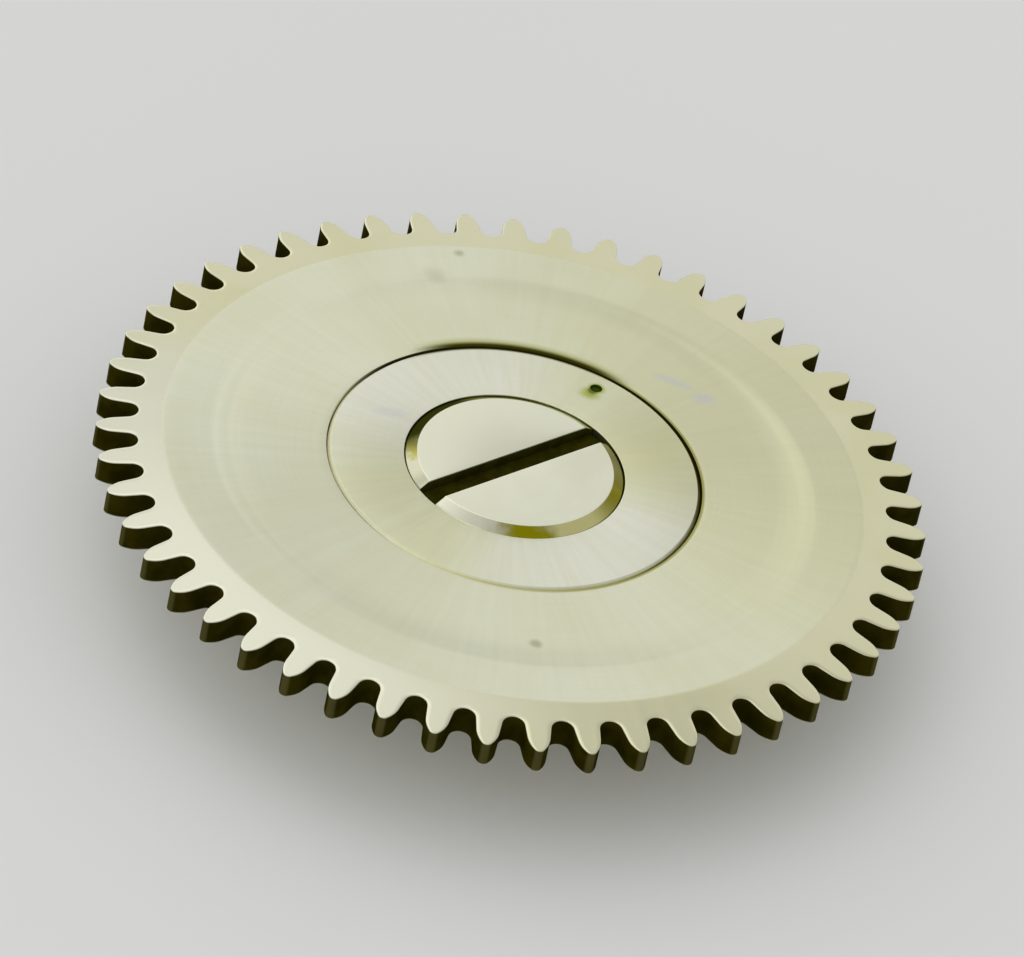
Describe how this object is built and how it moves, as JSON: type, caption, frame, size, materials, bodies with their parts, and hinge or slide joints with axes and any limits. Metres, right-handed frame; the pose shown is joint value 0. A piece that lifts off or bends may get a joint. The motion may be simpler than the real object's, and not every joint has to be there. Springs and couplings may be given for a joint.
{
  "type": "watch crown wheel",
  "caption": "Flat toothed winding wheel of a pocket watch that turns on a flush flanged core held by a large slotted screw.",
  "frame": {"origin": "on the wheel's axis, in the plane where the core sits on its bridge", "axes": "+Z along the wheel's axis, away from the bridge towards the viewer; +X to the viewer's right in the picture, through the middle of a space between two teeth"},
  "size_m": [0.0132, 0.0132, 0.0023],
  "materials": {
    "wheel": "fine sunray grain in a pale yellow-green tint, with a polished sloping rim and old dark oil between the teeth",
    "core": "the same fine sunray grain and tint",
    "screw": "flat ground head with an olive polished chamfer and old dark oil in the slot",
    "pin": "plain turned steel, oily at its upper end"
  },
  "bodies": {
    "fixed_core": {"wheel_core": "core", "core_screw": "screw", "steady_pin": "pin"},
    "wheel": {"crown_wheel": "wheel"}
  },
  "joints": [
    {"name": "wheel_spin", "type": "hinge", "parent": "fixed_core", "child": "wheel", "pos_m": [0, 0, 0], "axis": [0, 0, 1], "continuous": true}
  ]
}
